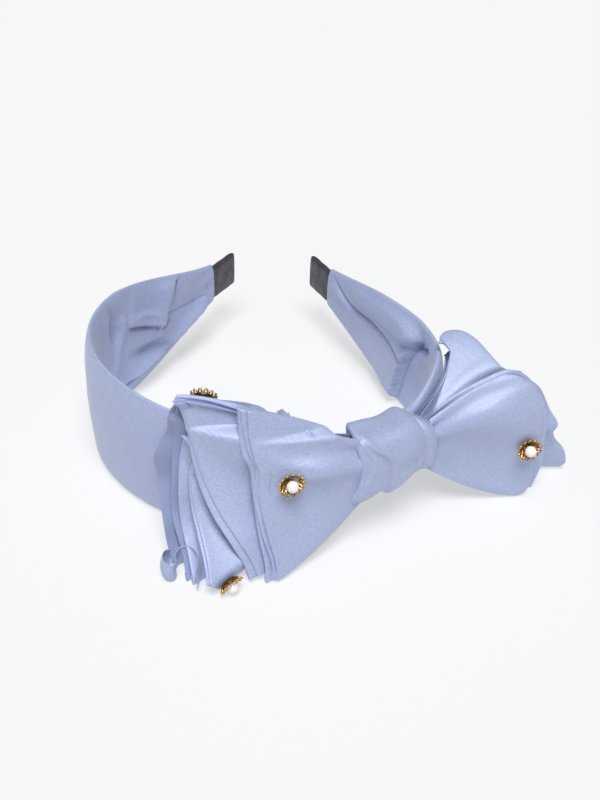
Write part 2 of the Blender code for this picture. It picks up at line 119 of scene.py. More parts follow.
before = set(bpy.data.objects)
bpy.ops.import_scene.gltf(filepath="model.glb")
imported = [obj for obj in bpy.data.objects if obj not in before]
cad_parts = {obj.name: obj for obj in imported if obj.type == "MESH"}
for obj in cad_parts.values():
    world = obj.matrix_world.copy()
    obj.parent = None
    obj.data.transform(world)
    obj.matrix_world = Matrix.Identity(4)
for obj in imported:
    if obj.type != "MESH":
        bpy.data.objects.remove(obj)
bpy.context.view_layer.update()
core_low, core_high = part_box("core_crown")
PLAN_ORIGIN = np.array([(core_low.x + core_high.x) / 2 / MM,
                        core_low.y / MM + CORE_HALF_THICKNESS, 0.0])


def to_part(points):
    """Points of the hoop's plan, in millimetres, in the part's frame, in metres."""
    return (np.asarray(points, float) + PLAN_ORIGIN) * MM


# ---- curves and shapes ----

def smooth(part):
    part = np.clip(part, 0.0, 1.0)
    return part * part * (3 - 2 * part)


def blend(start, end, part):
    return start + (end - start) * part


def bell(value, width):
    return np.exp(-(value / width) ** 2)


def soft_noise(points, size, seed):
    """Smooth noise from -1 to 1 at each point, with lumps of about that size."""
    flat = np.asarray(points, float).reshape(-1, points.shape[-1]) / size
    if flat.shape[1] == 2:
        flat = np.column_stack([flat, np.full(len(flat), seed)])
    found = [noise.noise(Vector(point) + Vector((seed, seed, seed))) for point in flat]
    return np.array(found).reshape(points.shape[:-1])


def hoop(distance):
    """Plan point, direction and outward normal of the hoop's middle line, from signed distances."""
    distance = np.asarray(distance, float)
    side = np.where(distance < 0, -1.0, 1.0)
    left = np.abs(distance)
    x = np.zeros_like(left)
    y = np.zeros_like(left)
    heading = np.zeros_like(left)
    for length, radius in HALF_ARCS:
        if radius is None:
            x = x + np.cos(heading) * left
            y = y + np.sin(heading) * left
        else:
            turned = heading + np.clip(left, 0.0, length) / radius
            x = x + (np.sin(turned) - np.sin(heading)) * radius
            y = y + (np.cos(heading) - np.cos(turned)) * radius
            heading = turned
            left = np.maximum(left - length, 0.0)
    flat = np.zeros_like(x)
    point = np.stack([side * x, y, flat], -1)
    direction = np.stack([np.cos(heading), side * np.sin(heading), flat], -1)
    outward = np.stack([side * np.sin(heading), -np.cos(heading), flat], -1)
    return point, direction, outward


def place(distance, out, height):
    """Points given along the hoop, outwards from its middle surface and up from the table."""
    distance, out, height = np.broadcast_arrays(distance, out, height)
    point, direction, outward = hoop(distance)
    point = point + outward * out[..., None]
    point[..., 2] += height
    return point


def through(points, share):
    """Points on a smooth curve through the given ones (Catmull-Rom), share running 0 to 1."""
    points = np.asarray(points, float)
    position = np.clip(share, 0.0, 1.0) * (len(points) - 1)
    index = np.minimum(position.astype(int), len(points) - 2)
    part = (position - index)[..., None]
    before = points[np.maximum(index - 1, 0)]
    start = points[index]
    end = points[index + 1]
    after = points[np.minimum(index + 2, len(points) - 1)]
    bend = 2 * start + (end - before) * part
    bend = bend + (2 * before - 5 * start + 4 * end - after) * part ** 2
    bend = bend + (3 * start - before - 3 * end + after) * part ** 3
    return bend / 2


def fold(along, height, line, rise, gentle, steep, valley):
    """Height of a fold whose crest runs through a line's points: gentle to the left of the line's
    own direction and steep to its right, with a valley at its foot there."""
    crest = through(line, np.linspace(0.0, 1.0, 48))
    ahead = np.gradient(crest, axis=0)
    ahead /= np.linalg.norm(ahead, axis=1)[:, None]
    away = np.stack([along, height], -1)[..., None, :] - crest
    nearest = np.argmin((away ** 2).sum(-1), axis=-1)
    offset = np.take_along_axis(away, nearest[..., None, None], -2)[..., 0, :]
    heading = ahead[nearest]
    side = heading[..., 0] * offset[..., 1] - heading[..., 1] * offset[..., 0]
    distance = np.sqrt((offset ** 2).sum(-1))
    share = nearest / (len(crest) - 1.0)
    window = smooth(share / 0.2) * smooth((1 - share) / 0.2)
    left = rise * bell(distance, gentle)
    right = rise * bell(distance, steep) - valley * rise * bell(distance - 2.2 * steep, 1.4 * steep)
    return np.where(side > 0, left, right) * window


# ---- meshes ----

def grid_object(name, grid, look, ring=False):
    """A smooth surface through a grid of points, (columns, rows, 3), with a map of the cloth in
    millimetres; with ring, each column is closed."""
    columns, rows = grid.shape[:2]
    number = np.arange(columns * rows).reshape(columns, rows)
    if ring:
        number = np.column_stack([number, number[:, 0]])
    corners = np.stack([number[:-1, :-1], number[1:, :-1], number[1:, 1:], number[:-1, 1:]], -1)
    mesh = bpy.data.meshes.new(name)
    mesh.from_pydata(to_part(grid.reshape(-1, 3)), [], corners.reshape(-1, 4).tolist())
    along = np.concatenate([[0.0], np.cumsum(np.linalg.norm(np.diff(grid, axis=0), axis=2).mean(1))])
    closed = np.concatenate([grid, grid[:, :1]], 1) if ring else grid
    across = np.concatenate([[0.0], np.cumsum(np.linalg.norm(np.diff(closed, axis=1), axis=2).mean(0))])
    cloth = np.stack(np.meshgrid(along, across, indexing="ij"), -1)
    cells = np.stack([cloth[:-1, :-1], cloth[1:, :-1], cloth[1:, 1:], cloth[:-1, 1:]], 2)
    layer = mesh.uv_layers.new(name="cloth")
    layer.data.foreach_set("uv", cells.reshape(-1).astype(np.float32))
    mesh.shade_smooth()
    mesh.materials.append(look)
    return add_object(name, mesh)


def add_object(name, data):
    made = bpy.data.objects.new(name, data)
    bpy.context.scene.collection.objects.link(made)
    return made


def thicken(made, thickness, offset):
    shell = made.modifiers.new("thickness", "SOLIDIFY")
    shell.thickness = thickness * MM
    shell.offset = offset
    shell.use_even_offset = False


# ---- materials ----

class Look:
    """A node material built step by step, round one Principled shader."""

    def __init__(self, name, colour, roughness, sockets=None):
        self.material = bpy.data.materials.new(name)
        self.material.use_nodes = True
        self.nodes = self.material.node_tree.nodes
        self.links = self.material.node_tree.links
        self.shader = next(node for node in self.nodes if node.type == "BSDF_PRINCIPLED")
        self.set("Base Color", (*colour, 1.0))
        self.set("Roughness", roughness)
        for socket, value in (sockets or {}).items():
            self.set(socket, value)

    def set(self, socket, value):
        self.shader.inputs[socket].default_value = value

    def add(self, kind, **values):
        node = self.nodes.new(kind)
        for key, value in values.items():
            if hasattr(node, key):
                setattr(node, key, value)
            else:
                node.inputs[key.replace("_", " ")].default_value = value
        return node

    def join(self, source, target):
        self.links.new(source, target)

    def cloth_map(self, scale):
        """The cloth's own coordinates, in millimetres, times a scale along and across."""
        where = self.add("ShaderNodeUVMap", uv_map="cloth")
        sized = self.add("ShaderNodeVectorMath", operation="MULTIPLY")
        self.join(where.outputs["UV"], sized.inputs[0])
        sized.inputs[1].default_value = (*scale, 1.0)
        return sized.outputs["Vector"]

    def object_map(self, scale):
        where = self.add("ShaderNodeTexCoord")
        sized = self.add("ShaderNodeVectorMath", operation="SCALE")
        self.join(where.outputs["Object"], sized.inputs[0])
        sized.inputs["Scale"].default_value = scale
        return sized.outputs["Vector"]

    def noise(self, where, detail):
        made = self.add("ShaderNodeTexNoise", Scale=1.0, Detail=detail)
        self.join(where, made.inputs["Vector"])
        return made.outputs["Fac"]

    def ramp(self, source, low, high, start, end):
        """A value or colour that runs from start to end as source runs from low to high."""
        if isinstance(start, tuple):
            made = self.add("ShaderNodeValToRGB")
            made.color_ramp.elements[0].position = low
            made.color_ramp.elements[0].color = (*start, 1.0)
            made.color_ramp.elements[1].position = high
            made.color_ramp.elements[1].color = (*end, 1.0)
            self.join(source, made.inputs["Fac"])
            return made.outputs["Color"]
        made = self.add("ShaderNodeMapRange")
        self.join(source, made.inputs["Value"])
        for socket, value in zip(("From Min", "From Max", "To Min", "To Max"), (low, high, start, end)):
            made.inputs[socket].default_value = value
        return made.outputs["Result"]

    def bump(self, source, distance, strength, before=None):
        made = self.add("ShaderNodeBump", Strength=strength, Distance=distance * MM)
        self.join(source, made.inputs["Height"])
        if before is not None:
            self.join(before, made.inputs["Normal"])
        return made.outputs["Normal"]

    def drive(self, source, socket):
        self.join(source, self.shader.inputs[socket])


def satin_look(name, colour, shade):
    """Satin: slubs and a fine grain in its colour, a soft sheen, and bumps of yarn, slub and hand."""
    look = Look(name, colour, 0.4, {
        "Anisotropic": 0.4, "Specular IOR Level": 0.8, "Metallic": 0.12, "Sheen Weight": 0.2,
        "Sheen Roughness": 0.4, "Sheen Tint": (0.9, 0.93, 1.0, 1.0)})
    slubs = look.noise(look.cloth_map((0.5, 3.4)), 6.0)
    grain = look.noise(look.object_map(1500.0), 2.0)
    mixed = look.add("ShaderNodeMath", operation="MULTIPLY_ADD")
    look.join(grain, mixed.inputs[0])
    mixed.inputs[1].default_value = 0.6
    look.join(look.ramp(slubs, 0.0, 1.0, -0.15, 0.55), mixed.inputs[2])
    look.drive(look.ramp(mixed.outputs["Value"], 0.35, 0.65, shade, colour), "Base Color")
    cloudy = look.noise(look.object_map(60.0), 2.0)
    look.drive(look.ramp(cloudy, 0.3, 0.7, 0.46, 0.55), "Roughness")
    weft = look.add("ShaderNodeTexWave", Scale=1.0, Distortion=0.6)
    weft.bands_direction = "Y"
    look.join(look.cloth_map((0.5, 0.62)), weft.inputs["Vector"])
    normal = look.bump(weft.outputs["Fac"], 0.04, 0.5)
    normal = look.bump(slubs, 0.14, 0.6, normal)
    hand = look.noise(look.object_map(150.0), 2.0)
    look.drive(look.bump(hand, 0.5, 0.5, normal), "Normal")
    return look.material


def organza_look(name, colour, shade):
    """Organza: a fine open mesh, part see-through, with darker yarns crossing at a slant."""
    look = Look(name, colour, 0.55, {"Specular IOR Level": 0.4, "Sheen Weight": 0.3})
    where = look.cloth_map((1.0, 1.0))
    slanted = look.add("ShaderNodeVectorRotate", rotation_type="Z_AXIS", Angle=math.radians(38))
    look.join(where, slanted.inputs["Vector"])
    yarns = []
    for direction in ("X", "Y"):
        wave = look.add("ShaderNodeTexWave", Scale=0.62, Distortion=0.3)
        wave.bands_direction = direction
        look.join(slanted.outputs["Vector"], wave.inputs["Vector"])
        yarns.append(wave.outputs["Fac"])
    crossing = look.add("ShaderNodeMath", operation="MAXIMUM")
    look.join(yarns[0], crossing.inputs[0])
    look.join(yarns[1], crossing.inputs[1])
    both = crossing.outputs["Value"]
    look.drive(look.ramp(both, 0.35, 0.95, shade, colour), "Base Color")
    look.drive(look.ramp(both, 0.35, 0.8, 0.68, 0.97), "Alpha")
    look.drive(look.bump(both, 0.12, 0.6), "Normal")
    return look.material


def ribbon_look(name):
    look = Look(name, (0.022, 0.022, 0.026), 0.55, {
        "Specular IOR Level": 0.5, "Sheen Weight": 0.35, "Sheen Tint": (0.7, 0.7, 0.8, 1.0)})
    worn = look.noise(look.object_map(240.0), 4.0)
    look.drive(look.ramp(worn, 0.35, 0.7, (0.018, 0.018, 0.022), (0.05, 0.048, 0.054)), "Base Color")
    look.drive(look.ramp(worn, 0.3, 0.7, 0.62, 0.34), "Roughness")
    yarn = look.add("ShaderNodeTexWave", Scale=0.9, Distortion=0.4)
    look.join(look.cloth_map((1.0, 1.0)), yarn.inputs["Vector"])
    look.drive(look.bump(yarn.outputs["Fac"], 0.05, 0.5), "Normal")
    return look.material


def gold_look(name, colour, dark):
    """Antique gold, cloudy with age; its dark copy is painted shade for the gap round each pearl."""
    look = Look(name, colour, 0.28, {"Metallic": 1.0})
    aged = look.noise(look.object_map(900.0), 3.0)
    look.drive(look.ramp(aged, 0.35, 0.65, dark, colour), "Base Color")
    look.drive(look.ramp(aged, 0.35, 0.7, 0.2, 0.42), "Roughness")
    return look.material


def pearl_look(name):
    look = Look(name, (0.92, 0.9, 0.86), 0.16, {
        "Specular IOR Level": 0.6, "Coat Weight": 0.6, "Coat Roughness": 0.08})
    nacre = look.noise(look.object_map(500.0), 2.0)
    look.drive(look.ramp(nacre, 0.3, 0.7, (0.9, 0.86, 0.82), (0.97, 0.96, 0.93)), "Base Color")
    return look.material


def plain_look(name, colour, roughness, grain):
    look = Look(name, colour, roughness)
    speckle = look.noise(look.object_map(grain), 4.0)
    darker = tuple(value * 0.88 for value in colour)
    look.drive(look.ramp(speckle, 0.3, 0.7, darker, colour), "Base Color")
    look.drive(look.bump(speckle, 0.08, 0.5), "Normal")
    return look.material


LOOKS = {
    "satin": satin_look("satin", (0.46, 0.53, 0.76), (0.35, 0.42, 0.65)),
    "organza": organza_look("organza", (0.36, 0.42, 0.66), (0.21, 0.26, 0.46)),
    "grosgrain": ribbon_look("grosgrain"),
    "gold": gold_look("antique_gold", (0.80, 0.53, 0.19), (0.52, 0.31, 0.10)),
    # Painted shade: a dark copy of the gold for the shaded gap round each pearl.
    "gold_painted_shade": gold_look("gold_in_painted_shade", (0.30, 0.17, 0.06), (0.10, 0.055, 0.02)),
    "pearl": pearl_look("pearl"),
    "core": plain_look("core_plastic", (0.72, 0.72, 0.7), 0.45, 900.0),
    "lining": plain_look("lining", (0.82, 0.83, 0.85), 0.9, 1800.0),
    "thread": plain_look("thread", (0.36, 0.43, 0.68), 0.6, 2500.0),
}


# ---- sleeve ----

def gather(distance):
    """1 inside the knot, falling to 0 where the sleeve has opened to its full height."""
    away = np.abs(distance - KNOT_PLACE) - KNOT_HALF_LENGTH
    return 1.0 - smooth(away / (GATHER_REACH - KNOT_HALF_LENGTH))


def edge_drop(distance):
    return ROLL_DROP * bell(distance - ROLL_PLACE, ROLL_REACH)


def sleeve_half_height(distance):
    along = np.abs(distance)
    full = blend(CROWN_HALF_HEIGHT, SIDE_HALF_HEIGHT, np.sin(np.pi * along / HALF_LENGTH))
    full = blend(END_HALF_HEIGHT, full, smooth((HALF_LENGTH - along) / TAPER_LENGTH))
    return blend(full - edge_drop(distance) / 2, GATHERED_HALF_HEIGHT, gather(distance))


def sleeve_middle(distance):
    return blend(MIDDLE_HEIGHT - edge_drop(distance) / 2, GATHERED_HEIGHT, gather(distance))


def left_arm_folds(along, height):
    """How far the inner satin of the left arm stands in from its even surface."""
    rise = fold(along, height, ((-171, 48), (-159, 43), (-152.3, 33.7), (-149, 25)), 2.6, 8.0, 0.7, 0.5)
    rise -= 1.6 * line_bell(along, height,
                            ((-170, 49), (-159.4, 43.4), (-153, 34.2), (-150.3, 28)), 0.55)
    rise += fold(along, height, ((-127, 38.9), (-138.9, 34.1), (-151, 28)), 2.2, 0.8, 5.5, -0.5)
    rise -= 2.6 * line_bell(along, height, ((-129.0, 37.4), (-138.9, 32.7), (-149.6, 27.2)), 0.7)
    rise += 1.2 * line_bell(along, height, ((-131, 40.6), (-140.6, 39.0), (-149.4, 33.4)), 1.3)
    rise -= 0.8 * line_bell(along, height, ((-151, 32.4), (-164, 29.7), (-187, 25.8)), 0.7)
    rise += 1.1 * line_bell(along, height, ((-145, 27), (-151, 24.5), (-158, 26.5)), 1.8)
    rise += 0.9 * bell(along + 170, 5.0) * bell(height - 37, 4.0)
    rim = ((-188, 21.8), (-172.9, 19.2), (-156.1, 14.4), (-138, 11.0), (-122, 9))
    rise += fold(along, height, rim, 3.2, 4.2, 0.55, 0.9)
    rise -= 3.4 * bell(along + 143, 13.0) * bell(height - 18.5 - 0.20 * (along + 143), 3.0)
    rise += 2.4 * line_bell(along, height, ((-112, 18), (-118, 28), (-124, 38), (-127, 46)), 2.6)
    rise -= 2.6 * bell(along + 119.5, 3.0) * bell(height - 41.0, 6.0)
    rise -= 1.3 * line_bell(along, height, ((-115, 58), (-118.5, 51), (-122, 43)), 0.8)
    return rise


def right_arm_folds(along, height):
    """The same for the right arm, where the satin is drawn inwards towards the knot."""
    seam = ((190, 38.5), (172, 31.6), (150.5, 31.2), (134, 29.6), (123, 25))
    rise = -1.5 * line_bell(along, height, seam, 0.9)
    rise += 0.8 * line_bell(along, height, ((186, 34), (170, 28.4), (150, 27.8)), 2.2)
    rise += fold(along, height, ((172, 37), (150, 38.6), (134, 40.4), (116, 43)), 2.4, 2.6, 6.0, 0.0)
    rise -= 4.0 * bell(along - 117, 8.0) * bell(height - 39.0 + 0.35 * (along - 118), 2.6)
    lip = ((117, 45), (122.0, 36), (127.5, 23), (131.8, 8), (133, -2))
    rise += fold(along, height, lip, 4.2, 15.0, 0.6, 0.25)
    rise += 1.2 * line_bell(along, height, ((80, 41), (92, 33), (108, 27)), 3.0)
    rise -= 1.2 * line_bell(along, height, ((72, 34), (84, 25), (104, 17)), 1.6)
    return rise


def line_bell(along, height, line, width):
    """1 along a line's points, falling off to both sides."""
    return fold(along, height, line, 1.0, width, width, 0.0)


def sleeve_grid(start, end):
    """The satin tube between two distances, turned in at an end that meets a wrapped tip."""
    count = int(abs(end - start) / COLUMN_SPACING)
    distance = np.linspace(start, end, count)[:, None]
    turn = np.linspace(-np.pi / 2, np.pi / 2, FACE_ROWS + 1)
    up = np.concatenate([np.sin(turn[:-1]), np.sin(turn[::-1][:-1])])[None, :]
    face = np.concatenate([np.ones(FACE_ROWS), -np.ones(FACE_ROWS)])[None, :]
    reach = sleeve_half_height(distance)
    height = sleeve_middle(distance) + reach * up
    tip = smooth((SLEEVE_END + 4 - np.abs(distance)) / 40.0)
    front = blend(END_DEPTH, SLEEVE_DEPTHS[0], tip)
    back = blend(END_DEPTH, SLEEVE_DEPTHS[1], tip)
    depth = np.where(face > 0, front, back) * np.sqrt(1 - np.abs(up) ** 3.2)
    inner = smooth((1 - np.abs(up)) / 0.22) * (face < 0)

    along = distance + 0 * up
    folds = np.where(along < 0, left_arm_folds(along, height), right_arm_folds(along, height))
    depth = depth + inner * folds
    depth = depth + sleeve_ripples(along, height, up, face)
    return place(along, face * depth, height)


def sleeve_ripples(along, height, up, face):
    """Soft unevenness all over, small gathers at the tips and pleats that run into the knot."""
    where = np.stack([along, height * 1.4], -1)
    ripples = 0.9 * soft_noise(where, 30.0, 3.1) + 0.2 * soft_noise(where, 9.0, 9.4)
    ripples *= smooth((SLEEVE_END - np.abs(along)) / 30.0)
    tips = np.exp(-np.maximum(SLEEVE_END - np.abs(along), 0) / 16.0)
    ripples += 0.45 * tips * np.sin(7.5 * up + 1.7 * np.sin(2.3 * up + 0.11 * along) + face)
    ripples *= smooth((SLEEVE_END - np.abs(along)) / 3.0)
    near = np.exp(-np.maximum(np.abs(along - KNOT_PLACE) - KNOT_HALF_LENGTH, 0) / 9.0)
    pleats = np.sin(13.0 * up + 2.0 * np.sin(3.1 * up) + np.sign(along - KNOT_PLACE))
    ripples += 0.7 * near * pleats
    return ripples * np.sqrt(1 - np.abs(up) ** 3.2)


def add_sleeve(side):
    """One half of the sleeve, from under the knot to the tip."""
    sign = -1 if side == "left" else 1
    grid = sleeve_grid(KNOT_PLACE, sign * SLEEVE_END)
    edge = grid[-1]
    centre = edge.mean(0)
    inwards = (grid[-6] - grid[-1]).mean(0)
    inwards /= np.linalg.norm(inwards)
    hem = [centre + (edge - centre) * np.array([0.93, 0.93, 0.965]) - inwards * 0.25]
    hem.append(centre + (edge - centre) * np.array([0.88, 0.88, 0.95]) + inwards * 1.0)
    hem.append(centre + (edge - centre) * np.array([0.88, 0.88, 0.95]) + inwards * 5.0)
    grid = np.concatenate([grid, np.stack(hem)])
    made = grid_object(f"satin_sleeve_{side}", grid, LOOKS["satin"], ring=True)
    thicken(made, CLOTH, 1.0)
    start = to_part(place(sign * (HINGE_PLACE - TURN_REACH), 0.0, MIDDLE_HEIGHT))
    end = to_part(place(sign * (HINGE_PLACE + TURN_REACH), 0.0, MIDDLE_HEIGHT))
    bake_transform(made)
    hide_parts(f"sleeve_{side}_arm", "sleeve_crown")


# ---- tips ----

def add_tip(side):
    """Grosgrain ribbon wound round the end of the core, its ribs running along the arm."""
    sign = -1 if side == "left" else 1
    half_height = 7.75
    half_depth = 1.5
    ribs = 42
    count = ribs * 8
    turn = np.linspace(0.0, 2 * np.pi, count, endpoint=False)
    up = np.sign(np.sin(turn)) * np.abs(np.sin(turn)) ** 0.42
    out = np.sign(np.cos(turn)) * np.abs(np.cos(turn)) ** 0.30
    section = np.stack([out * half_depth, up * half_height], -1)
    closed = np.concatenate([section, section[:1]])
    length = np.concatenate([[0.0], np.cumsum(np.linalg.norm(np.diff(closed, axis=0), axis=1))])
    even = np.linspace(0.0, length[-1], count, endpoint=False)
    section = np.stack([np.interp(even, length, closed[:, axis]) for axis in (0, 1)], -1)
    ridge = 0.10 * np.abs(np.sin(np.pi * ribs * np.arange(count) / count))
    growth = section / np.array([half_depth, half_height])
    growth /= np.maximum(np.linalg.norm(growth, axis=1), 1e-9)[:, None]
    section = section + growth * ridge[:, None]

    columns = []
    for distance, thickness, reach in (
            *((value, 0.6, 0.93) for value in (SLEEVE_END - 6.0, SLEEVE_END - 2.0, SLEEVE_END - 0.8)),
            *((value, 1.0, 1.0) for value in np.linspace(SLEEVE_END - 0.2, HALF_LENGTH - 2.0, 24)),
            (HALF_LENGTH - 1.2, 0.96, 1.0), (HALF_LENGTH - 0.6, 0.82, 0.995),
            (HALF_LENGTH - 0.2, 0.6, 0.99), (HALF_LENGTH, 0.42, 0.985)):
        wander = 0.08 * math.sin(distance * 0.9)
        columns.append(place(sign * distance, section[:, 0] * thickness + wander * (thickness == 1.0),
                             MIDDLE_HEIGHT + section[:, 1] * reach))
    frayed = 0.22 * np.sin(np.pi * ribs * np.arange(count) / count) ** 2
    ahead = hoop(sign * HALF_LENGTH)[1] * sign
    columns[-1] = columns[-1] + ahead * frayed[:, None]
    middle = columns[-1].mean(0)
    columns.append(middle + (columns[-1] - middle) * np.array([0.35, 0.35, 0.96]) - ahead * 0.7)
    made = grid_object(f"ribbon_tip_{side}", np.stack(columns), LOOKS["grosgrain"], ring=True)
    thicken(made, 0.25, -1.0 if sign < 0 else 1.0)
    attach(made, side + "_arm")
    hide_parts(f"end_wrap_{side}")


# ---- bow ----

def clear_of_sleeve(point, order):
    """Points pushed outwards, where they have to be, so that the bow's pieces lie on the sleeve."""
    crown_radius = HALF_ARCS[0][1]
    crown_arc = HALF_ARCS[0][0] / crown_radius
    side_radius = HALF_ARCS[1][1]
    flat = point * np.array([1.0, 1.0, 0.0])
    crown_centre = np.array([0.0, crown_radius, 0.0])
    side = np.where(point[..., 0] < 0, -1.0, 1.0)
    shift = (crown_radius - side_radius) * np.array([math.sin(crown_arc), -math.cos(crown_arc), 0.0])
    side_centre = crown_centre + np.stack([side * shift[0], 0 * side + shift[1], 0 * side], -1)
    spoke = flat - crown_centre
    past = (np.arctan2(np.abs(spoke[..., 0]), -spoke[..., 1]) > crown_arc)[..., None]
    centre = np.where(past, side_centre, crown_centre)
    radius = np.where(past[..., 0], side_radius, crown_radius)
    spoke = flat - centre
    length = np.linalg.norm(spoke, axis=-1)
    least = SLEEVE_FRONT + FLAP_REST + FLAP_STACK * (len(FLAPS) - 1 - order)
    least = least - FLAP_LEAN * smooth((point[..., 2] - FLAP_LEAN_START) / FLAP_LEAN_RISE)
    gap = length - radius - least
    eased = least + (gap + np.sqrt(gap * gap + FLAP_EASE ** 2)) / 2
    moved = centre + spoke / length[..., None] * (radius + eased)[..., None]
    moved[..., 2] = point[..., 2]
    return moved


# Each piece of the bow. "flat" is its size when flat, in metres. "left", "right" and "strip" are free
# edges, from the top down, and "opening" says how fast the piece opens towards an edge, at its top and
# at its bottom. "layers" are the layers seen at an edge: how far each lies beyond the first at the top
# and at the bottom, and how far behind it. "ripples" run along an edge: count, depth and phase.
FLAPS = {
    "front_flap": {
        "flat": (0.075, 0.205),
        "left": ((-3, -7, 66.5), (-2.4, -9, 57.5), (-0.4, -12.2, 50), (1.5, -13.6, 45.6),
                 (1.6, -14.6, 41.6), (1.4, -15.6, 37.2), (2.8, -17.4, 29.6), (5.4, -20.2, 19.2),
                 (8.4, -23, 9.6), (9.6, -25.4, 2.4)),
        "right": ((93.2, 32, 58.6), (97.4, 32, 58.2), (101.6, 31.7, 56.3), (105, 31.1, 54),
                  (108.2, 30.6, 49), (109.8, 30, 42.5), (110, 29.4, 35), (109.1, 28.9, 27),
                  (109.2, 28.3, 18), (109.6, 27.7, 10), (108.8, 27.2, 3.8), (106, 27, 0.9)),
        "opening": {"left": (1.2, 1.6), "right": (1.3, 1.5)},
        "layers": {"left": ((0, 0, 0), (2.0, 1.3, 1.3), (3.7, 2.6, 2.5)),
                   "right": ((0, 0, 0), (0.9, 0.4, 1.1))},
        "ripples": {"left": (1.5, 0.2, 0.4), "right": (1.2, 0.3, 2.0)},
    },
    "middle_flap": {
        "flat": (0.075, 0.208),
        "left": ((-26.6, 3.6, 62.4), (-28.8, 0.6, 66.9), (-26.6, -1.4, 61), (-24.7, -2.9, 55.5),
                 (-22.2, -6, 46.6), (-18.4, -10.6, 36.4), (-12.7, -15.8, 26.4),
                 (-5.4, -20.6, 16.6), (-0.6, -23, 9.2), (2.0, -24.8, 3.6)),
        "right": ((92.5, 36, 57), (97.5, 36.4, 57), (103, 36.4, 54), (107.6, 35.9, 49),
                  (111.2, 35, 41.5), (112.6, 34.2, 33), (113.2, 33.6, 23), (114.4, 33, 12),
                  (112.4, 32.2, 0.9)),
        "opening": {"left": (1.55, 1.6), "right": (1.3, 1.5)},
        "layers": {"left": ((0, 0, 0), (0.2, 3.4, 1.0)), "right": ((0, 0, 0), (0.8, 0.8, 1.0))},
        "ripples": {"left": (1.4, 0.2, 1.0), "right": (1.6, 0.5, 0.6)},
    },
    "lower_flap": {
        "flat": (0.062, 0.168),
        "left": ((-26.5, -0.9, 50), (-23.4, -2.4, 46), (-22.6, -4, 41.4), (-24, -5.6, 36),
                 (-23.8, -8, 30.6), (-22.2, -12, 22.6), (-19.6, -17.6, 16.2), (-17, -25, 11.4),
                 (-15, -33.4, 7.8), (-12.6, -31.4, 3.2)),
        "right": ((104, 43, 49), (110, 42, 45), (115.6, 41, 35), (119.6, 40.8, 28.5),
                  (118.8, 41, 23.5), (121.4, 42, 17.5), (125.4, 43.2, 12.5), (127.6, 44.6, 5),
                  (126.6, 45.4, 0.9)),
        "opening": {"left": (1.6, 1.6), "right": (1.5, 1.5)},
        "layers": {"left": ((0, 0, 0), (0.5, 0.9, 0.9)), "right": ((0, 0, 0),)},
        "ripples": {"left": (2.0, 0.4, 0.2), "right": (2.4, 0.7, 1.4)},
    },
    "rear_flap": {
        "flat": (0.062, 0.185),
        "left": ((-26.4, 1, 48), (-27.6, -0.4, 43), (-28.6, -2.6, 35.5), (-28.8, -6, 27.5),
                 (-27.8, -10.6, 18.5), (-25.4, -17, 10), (-22, -27.4, 0.9)),
        "right": ((69.5, 57.5, 55), (72.6, 61, 57.2), (78.6, 60.4, 58.4), (83.8, 56.5, 57.8),
                  (88.7, 50, 56), (93.5, 44, 53.6), (99.5, 46.4, 47.6), (106, 49, 38.6),
                  (112.5, 51, 26), (116.5, 53, 13), (118.6, 55, 0.9)),
        "opening": {"left": (1.6, 1.6), "right": (1.15, 1.5)},
        "layers": {"left": ((0, 0, 0), (-0.9, -0.9, 0.9)), "right": ((0, 0, 0),)},
        "ripples": {"left": (2.0, 0.6, 2.2), "right": (1.0, 0.4, 0.0)},
    },
    "organza_ruffle": {
        "flat": (0.068, 0.18),
        "left": ((-29.6, 5, 61.5), (-32, 4.9, 57.4), (-33.6, 3.9, 48.4), (-36, 3, 43.4),
                 (-38.6, 1.6, 37.6), (-37.6, -0.4, 32), (-36, -3, 26), (-35.2, -8, 16.6),
                 (-33.4, -13, 9), (-30.5, -19, 3)),
        "strip": ((-29.4, 3.6, 62), (-29.9, 3.4, 56), (-31.0, 1.6, 44.8), (-31.6, -1.9, 32.8),
                  (-31.7, -6.3, 22.2), (-30.6, -10.6, 15.6), (-27.4, -17, 8), (-24.4, -26, 0.9)),
        "right": ((76, 62, 48), (84, 62.5, 46), (91, 62, 40), (98, 61.6, 33), (104.4, 62, 24),
                  (108.4, 62.6, 12), (110.6, 63, 0.9)),
        "opening": {"left": (1.6, 1.6), "right": (1.2, 1.5), "strip": (1.6, 1.6)},
        "layers": {"left": ((0, 0, 0),), "right": ((0, 0, 0),), "strip": ((0, 0, 0),)},
        "ripples": {"left": (2.6, 0.9, 0.8), "right": (2.0, 0.8, 0.0), "strip": (2.6, 0.5, 0.2)},
    },
}
WING_COLUMNS = 64
WING_ROWS = 110
# Hems: steps round the fold and back under the cloth, then radii and widths in millimetres. The top
# and bottom ones are (radius, width).
HEM_TURN = 6
HEM_RUN = 3
HEM_RADIUS = 0.4
SHEER_HEM_RADIUS = 0.25
HEM_WIDTH = 4.0
FOLDED_TOP = (0.9, 7.0)
CUT_TOP = (0.2, 0.2)
BOTTOM_HEM = (0.45, 3.0)


def throat_points(order, distance, down, side):
    """The pinched middle of a piece: bound flat by the thread, rounded to the knot at its ends."""
    loose = np.abs(distance - KNOT_PLACE) - THROAT_BOUND_LENGTH
    opened = smooth(loose / (THROAT_HALF_LENGTH - THROAT_BOUND_LENGTH))
    reach = blend(THROAT_HALF_HEIGHT, THROAT_END_HALF_HEIGHTS[side] - 0.35 * order, opened)
    up = 1 - 2 * down
    curl = THROAT_CURL * (reach / THROAT_END_HALF_HEIGHTS["left"]) ** 4 * np.abs(up) ** 3.5
    lowered = {"left": 0.6, "right": 0.0}[side] * opened
    return place(distance, THROAT_FRONT - THROAT_SPACING * order - curl * np.where(up > 0, 1.0, 0.4),
                 KNOT_HEIGHT + lowered + reach * up)


